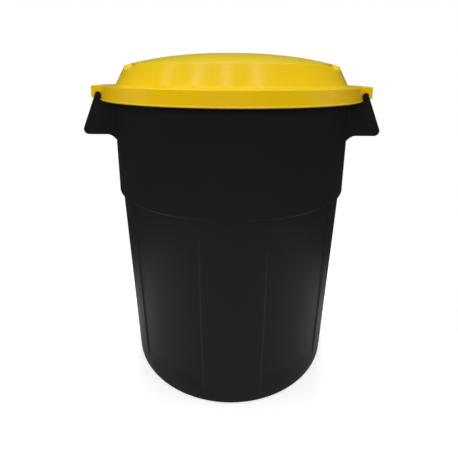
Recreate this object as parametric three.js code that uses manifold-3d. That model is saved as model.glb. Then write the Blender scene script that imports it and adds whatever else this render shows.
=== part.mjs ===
// Lidded utility drum: a tapered container with a stepped shoulder, shallow sunk panels and two
// side handles, under a crowned push-on lid. The container and the lid are one moulding each, so
// every mesh below is a named section of one of the two, parted from its neighbours by a hair gap.
// Millimetres, +Z up. The origin is the centre of the foot, the handles point along X and the
// front faces -Y. Profiles are lists of [radius, height] that are turned round the Z axis.
import * as THREE from "three";
import { mergeVertices } from "three/addons/utils/BufferGeometryUtils.js";
import Module from "manifold-3d";

const wasm = await Module();
wasm.setup();

// ---- Driving dimensions -------------------------------------------------------------------------

const partingGap = 0.3; // between two sections of one moulding, and between lid and rim
const turnSegments = 72; // facets round the drum

// Container
const containerWall = 4;
const footRadius = 232; // outer radius at the floor
const footCorner = 4.5; // rounding of the bottom edge
const footRingWidth = 15; // flat ring that the drum stands on
const footRecess = 8; // how far the floor is lifted clear of the ground
const floorThickness = 5;
const basePanHeight = 16;
const lowerTopRadius = 256; // lower wall, just under the step
const stepBottom = 408; // height of the underside of the step
const stepHeight = 14;
const stepOverhang = 7; // how far the step's lip stands out past the lower wall
const stepCorner = 4;
const upperTopRadius = 267; // upper wall, just under the rim
const upperWallHeight = 182;
const rimHeight = 32;
const rimOverhang = 19; // how far the rim stands out past the upper wall
const rimLipDepth = 20; // length of the rim's turned-down lip
const rimCorner = 4;

// Sunk panels of the lower wall
const panelDepth = 3;
const panelFrom = 15; // degrees from the front or the back, where a panel starts
const panelTo = 55; // degrees, where it ends
const panelEdge = 5; // degrees that its sloping edge takes
const panelFade = 44; // height over which the panel fades out above the base pan

// Handles
const handleHalfWidth = 90;
const handleWall = 4;
const gripThickness = 5;
const gripSlope = 0.375; // outward run for each unit of drop
const gripCorner = 11;
const gripDrop = 100.5; // from the top of the rim down to the bottom of the grip
const beadRadius = 5.5; // rolled top edge of the grip
const beadReach = 17.2; // from the rim out to the bead's centre
const beadDrop = 14; // from the top of the rim down to the bead's centre
const beadOverrun = 4; // how far the bead sticks out past each cheek
const neckDrop = 24; // from the top of the rim down to where the grip starts to slope out
const roofThickness = 4;
const roofDrop = 27; // from the top of the rim down to the top of the roof
const cheekFlareRun = 18; // fillet between the cheek's bottom edge and the wall
const cheekFlareDrop = 11.5;

// Lid
const lidWall = 3;
const skirtClearance = 2; // between the rim's lip and the skirt
const skirtFlare = 1.5; // extra radius at the bottom of the skirt
const skirtDrop = 25; // from the top of the rim down to the bottom of the skirt
const skirtBead = 1.2; // how far the rolled bottom edge stands out
const skirtBeadHeight = 3.5;
const flangeThickness = 3.7;
const flangeRise = 2; // from the flange's outer edge up to its inner edge
const flangeWidth = 33; // from the skirt in to the foot of the dome
const domeFootRise = 10; // from the flange's outer edge up to the foot of the dome wall
const domeFillet = 6;
const domeLean = 17; // how far the dome wall leans in from foot to shoulder
const domeHeight = 44; // from the flange's outer edge up to the dome's shoulder
const shoulderCorner = 4;
const crownRise = 27.5; // from the shoulder up to the middle of the crown
const crownSteps = 5;

// Grip ledges cut into the dome's shoulder, two at each side
const ledgeFrom = 50; // degrees from the front or the back
const ledgeTo = 67;
const ledgeWidth = 12;
const ledgeDrop = 2; // from the shoulder down to the ledge's inner edge
const ledgeFall = 6; // further fall to its outer edge

// Lid ears, over the handles
const earClearance = 1; // between the bead and the ear's outer wall
const earDrop = 21; // from the top of the rim down to the bottom of the ear
const earWall = 2.8;
const notchClearance = 0.8; // between the bead and the notch it passes through

// ---- Heights and radii that follow --------------------------------------------------------------

const upperWallBottom = stepBottom + stepHeight;
const rimBottom = upperWallBottom + upperWallHeight;
const rimTop = rimBottom + rimHeight;
const rimRadius = upperTopRadius + rimOverhang;
const stepLipRadius = lowerTopRadius + stepOverhang;
const beadHeight = rimTop - beadDrop;
const beadCentreRadius = rimRadius + beadReach;
const gripBottom = rimTop - gripDrop;
const flangeBottom = rimTop + partingGap;
const flangeTop = flangeBottom + flangeThickness;
const shoulderHeight = flangeTop + domeHeight;
const crownTop = shoulderHeight + crownRise;
const skirtTopRadius = rimRadius + skirtClearance + lidWall;
const domeFootRadius = skirtTopRadius - flangeWidth;
const domeTopRadius = domeFootRadius - domeLean;
const ledgeInnerRadius = domeTopRadius - ledgeWidth;
const earRadius = beadCentreRadius + beadRadius + earClearance + earWall;

const lowerRadiusAt = (z) => footRadius + ((lowerTopRadius - footRadius) * z) / stepBottom;
const upperRadiusAt = (z) =>
  stepLipRadius + ((upperTopRadius - stepLipRadius) * (z - upperWallBottom)) / upperWallHeight;

// ---- Shape helpers ------------------------------------------------------------------------------

/** Points of an arc in the profile plane, from one angle to another in degrees. */
function arc(centreRadius, centreHeight, radius, fromDegrees, toDegrees, steps = 3) {
  return Array.from({ length: steps + 1 }, (_, i) => {
    const a = THREE.MathUtils.degToRad(fromDegrees + ((toDegrees - fromDegrees) * i) / steps);
    return [centreRadius + radius * Math.cos(a), centreHeight + radius * Math.sin(a)];
  });
}

/** A ring or a disc: the profile turned once round Z. A profile on the axis closes there. */
function turned(profile) {
  const area = profile.reduce((sum, [r, z], i) => {
    const [r2, z2] = profile[(i + 1) % profile.length];
    return sum + r * z2 - r2 * z;
  }, 0);
  const points = profile.map(([r, z]) => new THREE.Vector2(r, z));
  if (area < 0) points.reverse();
  const axis = points.findIndex((p, i) => p.x === 0 && points.at(i - 1).x === 0);
  if (axis >= 0) points.push(...points.splice(0, axis));
  else points.push(points[0].clone());
  return new THREE.LatheGeometry(points, turnSegments).rotateX(Math.PI / 2);
}

/** A three.js geometry as a manifold-3d solid. */
function solid(geometry) {
  const bare = geometry.clone();
  bare.deleteAttribute("normal");
  bare.deleteAttribute("uv");
  const merged = mergeVertices(bare, 1e-3);
  return new wasm.Manifold(
    new wasm.Mesh({
      numProp: 3,
      vertProperties: merged.attributes.position.array,
      triVerts: new Uint32Array(merged.index.array),
    }),
  );
}

/** A manifold-3d solid as a flat-shaded three.js geometry. */
function geometryOf(manifold) {
  const mesh = manifold.getMesh();
  const geometry = new THREE.BufferGeometry();
  geometry.setAttribute("position", new THREE.BufferAttribute(mesh.vertProperties, 3));
  geometry.setIndex(new THREE.BufferAttribute(mesh.triVerts, 1));
  return geometry.toNonIndexed();
}

/** An upright box over a range of X and Y, taller than the drum. */
function column([x0, x1], [y0, y1]) {
  const tall = 2 * crownTop;
  return solid(new THREE.BoxGeometry(x1 - x0, y1 - y0, tall).translate((x0 + x1) / 2, (y0 + y1) / 2, 0));
}

/** A turned profile, cut down to a range of X and Y. */
const slice = (profile, xRange, yRange) => solid(turned(profile)).intersect(column(xRange, yRange));

/** An X range on one side of the drum, from the axis out. */
const sideRange = (side) => (side > 0 ? [0, 2 * earRadius] : [-2 * earRadius, 0]);

// ---- Container ----------------------------------------------------------------------------------

/** Floor, foot ring and rounded bottom edge. */
function basePan() {
  const ringOuter = footRadius - footCorner;
  const ringInner = ringOuter - footRingWidth;
  const floorTop = footRecess + floorThickness;
  const top = basePanHeight;
  return turned([
    [0, footRecess],
    [ringInner - footRecess, footRecess],
    [ringInner, 0],
    ...arc(ringOuter, footCorner, footCorner, -90, 0),
    [lowerRadiusAt(top), top],
    [lowerRadiusAt(top) - containerWall, top],
    [lowerRadiusAt(floorTop) - containerWall, floorTop],
    [0, floorTop],
  ]);
}

/** How deep the lower wall is sunk, at an angle from the front in degrees and a height. */
function panelSink(degrees, z) {
  const folded = Math.abs(degrees) > 90 ? 180 - Math.abs(degrees) : Math.abs(degrees);
  const inFrom = (folded - panelFrom) / panelEdge;
  const outTo = (panelTo - folded) / panelEdge;
  const across = THREE.MathUtils.clamp(Math.min(inFrom, outTo), 0, 1);
  const up = THREE.MathUtils.clamp((z - basePanHeight - partingGap) / panelFade, 0, 1);
  return panelDepth * across * up;
}

/** Lower wall, with four sunk panels that run up under the step. */
function lowerWall() {
  const heights = [basePanHeight + partingGap, basePanHeight + partingGap + panelFade, stepBottom];
  const outside = heights.map((z) => [lowerRadiusAt(z), z]);
  const inside = heights.map((z) => [lowerRadiusAt(z) - containerWall, z]);
  const geometry = turned([...outside, ...inside.reverse()]);
  const position = geometry.attributes.position;
  for (let i = 0; i < position.count; i += 1) {
    const x = position.getX(i);
    const y = position.getY(i);
    const z = position.getZ(i);
    const degrees = THREE.MathUtils.radToDeg(Math.atan2(x, -y));
    const scale = 1 - panelSink(degrees, z) / Math.hypot(x, y);
    position.setXYZ(i, x * scale, y * scale, z);
  }
  return geometry;
}

/** The step: a rounded lip outside and a ledge inside. */
function stepRing() {
  const bottom = stepBottom + partingGap;
  const top = upperWallBottom - partingGap;
  const ledgeInner = lowerTopRadius - containerWall - panelDepth;
  return turned([
    [ledgeInner, bottom],
    ...arc(stepLipRadius - stepCorner, bottom + stepCorner, stepCorner, -90, 0),
    [stepLipRadius, top],
    [stepLipRadius - containerWall, top],
    [stepLipRadius - containerWall, bottom + containerWall],
    [ledgeInner, bottom + containerWall],
  ]);
}

/** Plain band between the step and the rim. */
function upperWall() {
  const top = rimBottom;
  return turned([
    [upperRadiusAt(upperWallBottom), upperWallBottom],
    [upperRadiusAt(top), top],
    [upperRadiusAt(top) - containerWall, top],
    [upperRadiusAt(upperWallBottom) - containerWall, upperWallBottom],
  ]);
}

/** Upright part of the rim, on top of the upper wall. */
function rimCollar() {
  const bottom = rimBottom + partingGap;
  const inner = upperTopRadius - containerWall;
  return turned([
    [inner, bottom],
    [upperTopRadius, bottom],
    [upperTopRadius, rimTop],
    ...arc(inner + rimCorner, rimTop - rimCorner, rimCorner, 90, 180),
  ]);
}

/** Flat part of the rim, which the lid rests on. */
function rimLedge() {
  return turned([
    [upperTopRadius + partingGap, rimTop - containerWall],
    [rimRadius, rimTop - containerWall],
    ...arc(rimRadius - rimCorner, rimTop - rimCorner, rimCorner, 0, 90),
    [upperTopRadius + partingGap, rimTop],
  ]);
}

/** Turned-down lip of the rim, which the lid's skirt goes over. */
function rimLip() {
  return turned([
    [rimRadius - containerWall, rimTop - rimLipDepth],
    [rimRadius, rimTop - rimLipDepth],
    [rimRadius, rimTop - containerWall - partingGap],
    [rimRadius - containerWall, rimTop - containerWall - partingGap],
  ]);
}

// ---- Handles ------------------------------------------------------------------------------------

// The grip hangs from an upright neck under the bead. Its outer face is a straight line in
// profile, tangent to the bottom corner, with its direction given by its outward normal.
const gripNormal = Math.atan(gripSlope);
const gripNormalDegrees = THREE.MathUtils.radToDeg(gripNormal);

/** Radius of a line parallel to the grip's outer face, sunk by some depth, at a height. */
function gripRadiusAt(z, depth = 0) {
  const run = (rimTop - neckDrop - z) * gripSlope;
  return beadCentreRadius + beadRadius + run - depth / Math.cos(gripNormal);
}

const gripCornerHeight = gripBottom + gripCorner;
const gripCornerRadius = gripRadiusAt(gripCornerHeight, gripCorner);

/** The grip's wall: sloping face and curled bottom edge. */
function gripWallProfile() {
  const top = rimTop - neckDrop;
  const inner = gripCorner - gripThickness;
  return [
    [gripRadiusAt(top), top],
    [gripRadiusAt(top, gripThickness), top],
    ...arc(gripCornerRadius, gripCornerHeight, inner, gripNormalDegrees, -90),
    ...arc(gripCornerRadius, gripCornerHeight, gripCorner, -90, gripNormalDegrees),
  ];
}

/** Outer wall of a handle, with its rolled top edge. */
function grip(side) {
  const across = [-handleHalfWidth, handleHalfWidth];
  const beadAcross = [across[0] - beadOverrun, across[1] + beadOverrun];
  const neckBottom = rimTop - roofDrop + partingGap;
  const neck = [
    [beadCentreRadius - beadRadius, neckBottom],
    [beadCentreRadius + beadRadius, neckBottom],
    ...arc(beadCentreRadius, beadHeight, beadRadius, 0, 180, 8),
  ];
  const x = sideRange(side);
  return geometryOf(slice(gripWallProfile(), x, across).add(slice(neck, x, beadAcross)));
}

/** End wall of a handle, flared where it runs into the container. */
function cheek(side, end) {
  const inner = (z) => upperRadiusAt(z) + partingGap;
  const outerDepth = gripThickness + partingGap;
  const top = rimTop - roofDrop;
  const flareBottom = gripBottom - cheekFlareDrop;
  const flareEnd = inner(flareBottom) + cheekFlareRun;
  const curl = gripCorner - outerDepth;
  const flare = [0.75, 0.5, 0.25].map((t) => [
    inner(flareBottom) + cheekFlareRun * t,
    gripBottom - cheekFlareDrop * (1 - t) ** 2,
  ]);
  const profile = [
    [inner(flareBottom), flareBottom],
    [inner(rimBottom), rimBottom],
    [inner(rimBottom), top],
    [gripRadiusAt(top, outerDepth), top],
    ...arc(gripCornerRadius, gripCornerHeight, curl, gripNormalDegrees, -90),
    [gripCornerRadius - partingGap, gripCornerHeight - curl],
    [gripCornerRadius - partingGap, gripBottom],
    [flareEnd, gripBottom],
    ...flare,
  ];
  const y0 = handleHalfWidth - handleWall + partingGap;
  const y = end > 0 ? [y0, handleHalfWidth] : [-handleHalfWidth, -y0];
  return geometryOf(slice(profile, sideRange(side), y));
}

/** Roof of the finger pocket, between the cheeks. */
function handleRoof(side) {
  const top = rimTop - roofDrop;
  const bottom = top - roofThickness;
  const inner = upperTopRadius + partingGap;
  const depth = gripThickness + partingGap;
  const profile = [
    [inner, bottom],
    [gripRadiusAt(bottom, depth), bottom],
    [gripRadiusAt(top, depth), top],
    [inner, top],
  ];
  const halfWidth = handleHalfWidth - handleWall;
  return geometryOf(slice(profile, sideRange(side), [-halfWidth, halfWidth]));
}

// ---- Lid ----------------------------------------------------------------------------------------

/** Outline of the dome from its foot to the axis, inset by a wall. */
function domeLine(inset) {
  const foot = flangeTop + domeFootRise;
  const lean = Math.atan2(domeFootRadius - domeTopRadius, shoulderHeight - foot);
  const leanDegrees = THREE.MathUtils.radToDeg(lean);
  const radiusAt = (z) => domeFootRadius - (z - foot) * Math.tan(lean) - inset / Math.cos(lean);
  const cornerHeight = shoulderHeight - shoulderCorner;
  const cornerRadius = radiusAt(cornerHeight + inset) + inset - shoulderCorner;
  const corner = shoulderCorner - Math.min(inset, shoulderCorner - 1);
  const rise = (r) => crownRise * (1 - (r / cornerRadius) ** 2);
  const crown = Array.from({ length: crownSteps }, (_, i) => {
    const r = (cornerRadius * (crownSteps - 1 - i)) / crownSteps;
    return [r, shoulderHeight - inset + rise(r)];
  });
  const bottom = flangeBottom - 2 * inset;
  return [
    [radiusAt(bottom), bottom],
    ...arc(cornerRadius, cornerHeight - inset + shoulderCorner - corner, corner, leanDegrees, 80, 3),
    ...crown,
    [0, bottom],
  ];
}

/** Cutter for the grip ledges, grown inwards and downwards by a wall. */
function ledgeCutter(grow) {
  const inner = ledgeInnerRadius - grow;
  const outer = domeFootRadius + domeFillet;
  const innerHeight = shoulderHeight - ledgeDrop - grow;
  const fall = (ledgeFall * (outer - inner)) / (domeTopRadius - ledgeInnerRadius);
  const ring = solid(
    turned([
      [inner, innerHeight],
      [outer, innerHeight - fall],
      [outer, 2 * crownTop],
      [inner, 2 * crownTop],
    ]),
  );
  const widen = THREE.MathUtils.radToDeg(grow / domeTopRadius);
  const wedge = (side, end) => {
    const reach = 3 * earRadius;
    const corner = (degrees) => {
      const a = THREE.MathUtils.degToRad(degrees);
      return new THREE.Vector2(side * reach * Math.sin(a), end * reach * Math.cos(a));
    };
    const points = [new THREE.Vector2(0, 0), corner(ledgeFrom - widen), corner(ledgeTo + widen)];
    const plan = new THREE.Shape(points);
    return solid(new THREE.ExtrudeGeometry(plan, { depth: 2 * crownTop, bevelEnabled: false }));
  };
  const wedges = [wedge(1, 1), wedge(1, -1), wedge(-1, 1), wedge(-1, -1)];
  return ring.intersect(wedges.reduce((all, one) => all.add(one)));
}

/** The dome as a shell open below, ledges and all, before it is parted into sections. */
function domeShell() {
  const outside = solid(turned(domeLine(0))).subtract(ledgeCutter(0));
  const inside = solid(turned(domeLine(lidWall))).subtract(ledgeCutter(lidWall));
  return outside.subtract(inside);
}

const dome = domeShell();
const crownRadius = ledgeInnerRadius - 2 * lidWall; // where the crown meets the shoulder
const shoulderBottom = shoulderHeight - ledgeDrop - ledgeFall - 3 * lidWall; // clear of the ledges

/** Part of the dome between two radii and two heights. */
function domePart(inner, outer, bottom, top) {
  const cutter = turned([
    [inner, bottom],
    [outer, bottom],
    [outer, top],
    [inner, top],
  ]);
  return geometryOf(dome.intersect(solid(cutter)));
}

/** Crowned middle of the lid. */
const lidCrown = () => domePart(0, crownRadius, flangeTop, 2 * crownTop);

/** Shoulder of the dome, with the grip ledges. */
const lidShoulder = () => domePart(crownRadius + partingGap, earRadius, shoulderBottom, 2 * crownTop);

/** Leaning wall of the dome, under the shoulder. */
const lidDomeWall = () =>
  domePart(crownRadius, earRadius, flangeTop + domeFootRise + partingGap, shoulderBottom - partingGap);

/** Flange that rests on the rim, blended into the foot of the dome. */
function lidFlange() {
  const top = flangeTop + domeFootRise;
  const filletCentre = [domeFootRadius + domeFillet, flangeTop + flangeRise + domeFillet];
  return turned([
    [domeFootRadius - lidWall, flangeBottom],
    [skirtTopRadius, flangeBottom],
    [skirtTopRadius, flangeTop - 1],
    [skirtTopRadius - 1, flangeTop],
    ...arc(...filletCentre, domeFillet, 270, 190),
    [domeFootRadius, top],
    [domeFootRadius - lidWall, top],
  ]);
}

/** Skirt of the lid in front of or behind the ears, with its rolled bottom edge. */
function lidSkirt(end) {
  const top = rimTop;
  const bottom = rimTop - skirtDrop;
  const bottomRadius = skirtTopRadius + skirtFlare;
  const profile = [
    [bottomRadius - lidWall, bottom],
    [bottomRadius, bottom],
    [bottomRadius + skirtBead, bottom + skirtBeadHeight * 0.3],
    [bottomRadius + skirtBead, bottom + skirtBeadHeight * 0.7],
    [bottomRadius, bottom + skirtBeadHeight],
    [skirtTopRadius, top],
    [skirtTopRadius - lidWall, top],
  ];
  const reach = [handleHalfWidth + partingGap, 2 * earRadius];
  const y = end > 0 ? reach : [-reach[1], -reach[0]];
  return geometryOf(slice(profile, [-reach[1], reach[1]], y));
}

/** Ear of the lid: it covers a handle's bead, which passes out through a notch in each cheek. */
function lidEar(side) {
  const bottom = rimTop - earDrop;
  const innerRadius = skirtTopRadius - lidWall;
  const plateRadius = skirtTopRadius + partingGap;
  const block = [
    [innerRadius, bottom],
    [earRadius, bottom],
    [earRadius, flangeTop - 1],
    [earRadius - 1, flangeTop],
    [plateRadius, flangeTop],
    [plateRadius, rimTop],
    [innerRadius, rimTop],
  ];
  const pocket = [
    [0, 0],
    [earRadius - earWall, 0],
    [earRadius - earWall, flangeBottom],
    [0, flangeBottom],
  ];
  const notchRadius = beadRadius + notchClearance;
  const notch = [
    [beadCentreRadius - notchRadius, bottom - 1],
    [beadCentreRadius + notchRadius, bottom - 1],
    ...arc(beadCentreRadius, beadHeight, notchRadius, 0, 180, 8),
  ];
  const x = sideRange(side);
  const pocketHalf = handleHalfWidth - lidWall;
  return geometryOf(
    slice(block, x, [-handleHalfWidth, handleHalfWidth])
      .subtract(slice(pocket, x, [-pocketHalf, pocketHalf]))
      .subtract(slice(notch, x, [-2 * handleHalfWidth, 2 * handleHalfWidth])),
  );
}

// ---- Assembly -----------------------------------------------------------------------------------

const blackPlastic = new THREE.MeshStandardMaterial({ color: 0x141414, roughness: 0.55, metalness: 0 });
const yellowPlastic = new THREE.MeshStandardMaterial({ color: 0xe0b000, roughness: 0.45, metalness: 0 });

const drum = new THREE.Group();
const container = new THREE.Group();
const lid = new THREE.Group();
drum.add(container, lid);

/** Adds one named section to a group. */
function place(group, name, geometry, material) {
  const mesh = new THREE.Mesh(geometry, material);
  mesh.name = name;
  group.add(mesh);
}

place(container, "base_pan", basePan(), blackPlastic);
place(container, "lower_wall", lowerWall(), blackPlastic);
place(container, "step_ring", stepRing(), blackPlastic);
place(container, "upper_wall", upperWall(), blackPlastic);
place(container, "rim_collar", rimCollar(), blackPlastic);
place(container, "rim_ledge", rimLedge(), blackPlastic);
place(container, "rim_lip", rimLip(), blackPlastic);
for (const [sideName, side] of [["left", -1], ["right", 1]]) {
  place(container, `${sideName}_grip`, grip(side), blackPlastic);
  place(container, `${sideName}_handle_roof`, handleRoof(side), blackPlastic);
  place(container, `${sideName}_front_cheek`, cheek(side, -1), blackPlastic);
  place(container, `${sideName}_rear_cheek`, cheek(side, 1), blackPlastic);
  place(lid, `lid_${sideName}_ear`, lidEar(side), yellowPlastic);
}
place(lid, "lid_crown", lidCrown(), yellowPlastic);
place(lid, "lid_shoulder", lidShoulder(), yellowPlastic);
place(lid, "lid_dome_wall", lidDomeWall(), yellowPlastic);
place(lid, "lid_flange", lidFlange(), yellowPlastic);
place(lid, "lid_front_skirt", lidSkirt(-1), yellowPlastic);
place(lid, "lid_rear_skirt", lidSkirt(1), yellowPlastic);

export default drum;
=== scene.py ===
"""A lidded utility drum in black and yellow moulded plastic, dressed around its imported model.

The container is one turned shell with four sunk panels, made by a Geometry Nodes tree. The two
handles and the lid are built as meshes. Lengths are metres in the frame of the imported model:
+Z up, the handles along X and the front facing -Y.
"""

import logging
import math
from dataclasses import dataclass
from enum import Enum

import bmesh
import bpy
import numpy as np
from mathutils import Matrix, Vector


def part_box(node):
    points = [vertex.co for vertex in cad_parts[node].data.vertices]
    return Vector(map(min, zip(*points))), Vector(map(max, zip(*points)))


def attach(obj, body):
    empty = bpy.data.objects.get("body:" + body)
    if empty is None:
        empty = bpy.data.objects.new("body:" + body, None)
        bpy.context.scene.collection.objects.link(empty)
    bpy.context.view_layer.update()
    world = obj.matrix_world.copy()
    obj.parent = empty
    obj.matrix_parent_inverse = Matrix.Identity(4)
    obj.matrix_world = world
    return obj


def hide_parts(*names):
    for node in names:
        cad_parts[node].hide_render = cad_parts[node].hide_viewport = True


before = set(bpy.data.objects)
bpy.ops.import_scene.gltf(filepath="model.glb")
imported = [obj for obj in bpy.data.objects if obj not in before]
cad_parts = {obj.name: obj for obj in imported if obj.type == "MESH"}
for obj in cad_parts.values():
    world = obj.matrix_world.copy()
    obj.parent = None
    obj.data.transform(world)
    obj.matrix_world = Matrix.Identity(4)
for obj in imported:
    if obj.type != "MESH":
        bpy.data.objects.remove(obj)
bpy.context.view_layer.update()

log = logging.getLogger("drum")
MM = 0.001
Point = tuple[float, float]
Material, Mesh, Piece = bpy.types.Material, bpy.types.Mesh, bpy.types.Object
Socket, Tree = bpy.types.NodeSocket, bpy.types.NodeTree


class Side(Enum):
    """The side of the drum that a handle is on."""

    LEFT = -1
    RIGHT = 1


class Body(Enum):
    """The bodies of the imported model."""

    CONTAINER = "container"
    LID = "lid"


# ---- Profiles -----------------------------------------------------------------------------------


def arc(centre: Point, radius: float, start: float, end: float, steps: int = 5) -> list[Point]:
    """Points of an arc in a profile plane, both ends included.

    Args:
        centre: Radius and height of the arc's centre.
        radius: Radius of the arc.
        start: Angle of the first point in degrees.
        end: Angle of the last point in degrees.
        steps: Number of chords.
    """
    angles = np.radians(np.linspace(start, end, steps + 1))
    return [(centre[0] + radius * math.cos(a), centre[1] + radius * math.sin(a)) for a in angles]


def spaced(points: list[tuple], longest: float = 22 * MM, support: float = 0.8 * MM) -> list[tuple]:
    """Adds points to the long stretches of a profile, so that smooth shading stays flat there.

    Args:
        points: The profile. Values past the first two are blended along with them.
        longest: The longest stretch that is left whole.
        support: How close to a long stretch's ends its first and last new points are.
    """
    out = [points[0]]
    for a, b in zip(points, points[1:]):
        a_row, b_row = np.array(a, float), np.array(b, float)
        length = float(np.hypot(*(b_row - a_row)[:2]))
        if length > 5 * support:
            inner = np.linspace(support, length - support, max(2, math.ceil(length / longest) + 1))
            out += [tuple(a_row + (b_row - a_row) * t / length) for t in inner]
        out.append(b)
    return out


def smooth_step(value: float | np.ndarray) -> float | np.ndarray:
    """A soft step from 0 to 1 as the value goes from 0 to 1."""
    t = np.clip(value, 0.0, 1.0)
    return t * t * (3 - 2 * t)


# ---- Meshes -------------------------------------------------------------------------------------


def grid_mesh(rows: np.ndarray, name: str, merge: float = 1e-6) -> Mesh:
    """A closed mesh from rows of points, each row a closed loop.

    Args:
        rows: Array of row by point by coordinate. Rows of one repeated point close a pole.
        name: Name of the mesh.
        merge: Points closer than this become one.
    """
    count, size = rows.shape[:2]
    faces = []
    for i in range(count - 1):
        for j in range(size):
            k = (j + 1) % size
            faces.append((i * size + j, i * size + k, (i + 1) * size + k, (i + 1) * size + j))
    mesh = bpy.data.meshes.new(name)
    mesh.from_pydata(rows.reshape(-1, 3).tolist(), [], faces)
    close_mesh(mesh, merge)
    return mesh


def close_mesh(mesh: Mesh, merge: float = 1e-6) -> None:
    """Merges doubles, turns the faces outwards and shades them smooth."""
    work = bmesh.new()
    work.from_mesh(mesh)
    bmesh.ops.remove_doubles(work, verts=work.verts, dist=merge)
    bmesh.ops.dissolve_degenerate(work, dist=merge, edges=work.edges)
    bmesh.ops.recalc_face_normals(work, faces=work.faces)
    for face in work.faces:
        face.smooth = True
    work.to_mesh(mesh)
    work.free()


def new_object(mesh: Mesh) -> Piece:
    """Puts a mesh in the scene as an object of the same name."""
    piece = bpy.data.objects.new(mesh.name, mesh)
    bpy.context.scene.collection.objects.link(piece)
    return piece


def apply_modifiers(piece: Piece) -> None:
    """Turns a piece's evaluated result into its plain mesh."""
    depsgraph = bpy.context.evaluated_depsgraph_get()
    mesh = bpy.data.meshes.new_from_object(piece.evaluated_get(depsgraph))
    mesh.name = piece.name
    piece.modifiers.clear()
    piece.data = mesh


def joined(pieces: list[Piece], name: str) -> Piece:
    """Joins pieces that are one moulding into one object."""
    work = bmesh.new()
    for piece in pieces:
        work.from_mesh(piece.data)
        bpy.data.objects.remove(piece)
    mesh = bpy.data.meshes.new(name)
    work.to_mesh(mesh)
    work.free()
    for face in mesh.polygons:
        face.use_smooth = True
    return new_object(mesh)


def settle(piece: Piece, body: Body, material: Material, *nodes: str) -> None:
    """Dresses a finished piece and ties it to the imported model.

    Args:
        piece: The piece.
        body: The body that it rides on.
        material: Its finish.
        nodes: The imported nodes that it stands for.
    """
    piece.data.materials.clear()
    piece.data.materials.append(material)
    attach(piece, body.value)
    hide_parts(*nodes)
    log.info("%s: %d faces on %s", piece.name, len(piece.data.polygons), body.value)


# ---- Sizes --------------------------------------------------------------------------------------


@dataclass(frozen=True)
class DrumSizes:
    """Main sizes of the drum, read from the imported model."""

    foot_radius: float
    lower_top_radius: float
    step_radius: float
    upper_top_radius: float
    rim_radius: float
    step_bottom: float
    step_top: float
    upper_top: float
    rim_top: float
    lip_bottom: float
    skirt_radius: float
    skirt_bottom: float
    flange_bottom: float
    flange_top: float
    crown_top: float
    ear_radius: float
    ear_bottom: float
    ear_half_width: float
    grip_bottom: float

    @classmethod
    def read(cls) -> "DrumSizes":
        """Reads the sizes."""
        pan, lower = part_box("base_pan"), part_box("lower_wall")
        upper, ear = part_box("upper_wall"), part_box("lid_right_ear")
        foot_rise = (lower[1].x - pan[1].x) * pan[1].z / (lower[1].z - pan[1].z)
        return cls(
            foot_radius=pan[1].x - foot_rise,
            lower_top_radius=lower[1].x,
            step_radius=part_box("step_ring")[1].x,
            upper_top_radius=upper[1].x,
            rim_radius=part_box("rim_ledge")[1].x,
            step_bottom=lower[1].z,
            step_top=upper[0].z,
            upper_top=upper[1].z,
            rim_top=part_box("rim_ledge")[1].z,
            lip_bottom=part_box("rim_lip")[0].z,
            skirt_radius=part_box("lid_flange")[1].x,
            skirt_bottom=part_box("lid_front_skirt")[0].z,
            flange_bottom=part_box("lid_flange")[0].z,
            flange_top=ear[1].z,
            crown_top=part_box("lid_crown")[1].z,
            ear_radius=ear[1].x,
            ear_bottom=ear[0].z,
            ear_half_width=ear[1].y,
            grip_bottom=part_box("right_grip")[0].z,
        )

    def lower_radius(self, z: float) -> float:
        """Outer radius of the lower wall at a height."""
        return self.foot_radius + (self.lower_top_radius - self.foot_radius) * z / self.step_bottom

    def upper_radius(self, z: float) -> float:
        """Outer radius of the upper wall at a height."""
        t = (z - self.step_top) / (self.upper_top - self.step_top)
        return self.step_radius + (self.upper_top_radius - self.step_radius) * min(t, 1.0)


# ---- Container ----------------------------------------------------------------------------------


class NodeTree:
    """A short way to build a geometry or shader node tree."""

    def __init__(self, tree: Tree) -> None:
        """Starts on an empty or a partly built tree."""
        self.tree = tree

    def add(self, kind: str, inputs: dict | None = None, **settings: object) -> bpy.types.Node:
        """Adds a node.

        Args:
            kind: The node's type name.
            inputs: Values or output sockets by the input's name or number.
            settings: The node's own properties.
        """
        node = self.tree.nodes.new(kind)
        for key, value in settings.items():
            setattr(node, key, value)
        for key, value in (inputs or {}).items():
            if isinstance(value, Socket):
                self.tree.links.new(value, node.inputs[key])
            else:
                node.inputs[key].default_value = value
        return node

    def math(self, operation: str, *values: object) -> Socket:
        """Adds a math node and returns its result."""
        return self.add("ShaderNodeMath", dict(enumerate(values)), operation=operation).outputs[0]

    def product(self, *values: object) -> Socket:
        """Multiplies values from left to right."""
        result, *others = values
        for other in others:
            result = self.math("MULTIPLY", result, other)
        return result

    def ramp(
        self, value: Socket, start: object, end: object, levels: Point = (0.0, 1.0), **settings: str
    ) -> Socket:
        """Maps a range of a value to a range of levels, and holds it there."""
        inputs = {"Value": value, "From Min": start, "From Max": end}
        inputs |= {"To Min": levels[0], "To Max": levels[1]}
        return self.add("ShaderNodeMapRange", inputs, **settings).outputs[0]

    def noise(self, spot: Socket, scale: object, detail: float, **inputs: float) -> Socket:
        """Adds a noise texture and returns its value."""
        inputs |= {"Vector": spot, "Scale": scale, "Detail": detail}
        return self.add("ShaderNodeTexNoise", inputs).outputs[0]

    def mix(self, share: Socket, first: Socket, second: Socket) -> Socket:
        """Mixes two shaders."""
        return self.add("ShaderNodeMixShader", {0: share, 1: first, 2: second}).outputs[0]


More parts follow.
